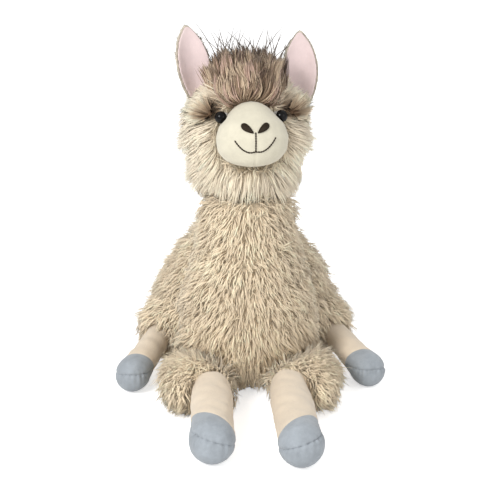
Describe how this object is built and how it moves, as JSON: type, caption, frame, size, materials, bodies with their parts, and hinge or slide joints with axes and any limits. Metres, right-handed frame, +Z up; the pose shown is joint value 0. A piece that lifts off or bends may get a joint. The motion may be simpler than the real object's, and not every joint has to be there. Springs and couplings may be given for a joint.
{
  "type": "plush llama",
  "caption": "Sitting plush llama with shaggy fur, a velour muzzle, glossy eyes, upright ears, a tousled forelock and padded legs stretched to the front.",
  "frame": {"origin": "on the flat underside of the torso, below the front of the torso's middle", "axes": "+Z up, -Y to the front where the llama looks, +X to the llama's own left"},
  "size_m": [0.3023, 0.4658, 0.3908],
  "materials": {
    "body_fur": "long-pile faux fur, sandy beige",
    "ruff_fur": "long-pile faux fur, pale beige",
    "brow_fur": "long-pile faux fur, dark brown",
    "forelock_hair": "long loose faux hair, mixed brown, grey and beige",
    "cream_velour": "short-pile velour, cream",
    "pink_velour": "short-pile velour, pale pink",
    "blue_velour": "short-pile velour, grey blue",
    "brown_thread": "embroidery thread, dark brown",
    "eye_plastic": "polished black plastic",
    "washer_plastic": "moulded plastic, natural"
  },
  "bodies": {
    "root": {"ear_back_left": "ruff_fur", "ear_back_right": "ruff_fur", "ear_lining_left": "pink_velour", "ear_lining_right": "pink_velour", "eye_left": "eye_plastic", "eye_patch_left": "brow_fur", "eye_patch_right": "brow_fur", "eye_right": "eye_plastic", "eye_washer_left": "washer_plastic", "eye_washer_right": "washer_plastic", "forelock": "forelock_hair", "front_hoof_left": "blue_velour", "front_hoof_right": "blue_velour", "front_hoof_sole_left": "blue_velour", "front_hoof_sole_right": "blue_velour", "front_shin_left": "cream_velour", "front_shin_right": "cream_velour", "front_sleeve_left": "body_fur", "front_sleeve_right": "body_fur", "head": "ruff_fur", "hind_hoof_left": "blue_velour", "hind_hoof_right": "blue_velour", "hind_hoof_sole_left": "blue_velour", "hind_hoof_sole_right": "blue_velour", "hind_shin_left": "cream_velour", "hind_shin_right": "cream_velour", "hind_thigh_left": "body_fur", "hind_thigh_right": "body_fur", "mouth_stitching": "brown_thread", "muzzle": "cream_velour", "neck_and_chest": "body_fur", "nostril_left": "brown_thread", "nostril_right": "brown_thread", "tail": "body_fur", "torso": "body_fur"}
  },
  "joints": []
}
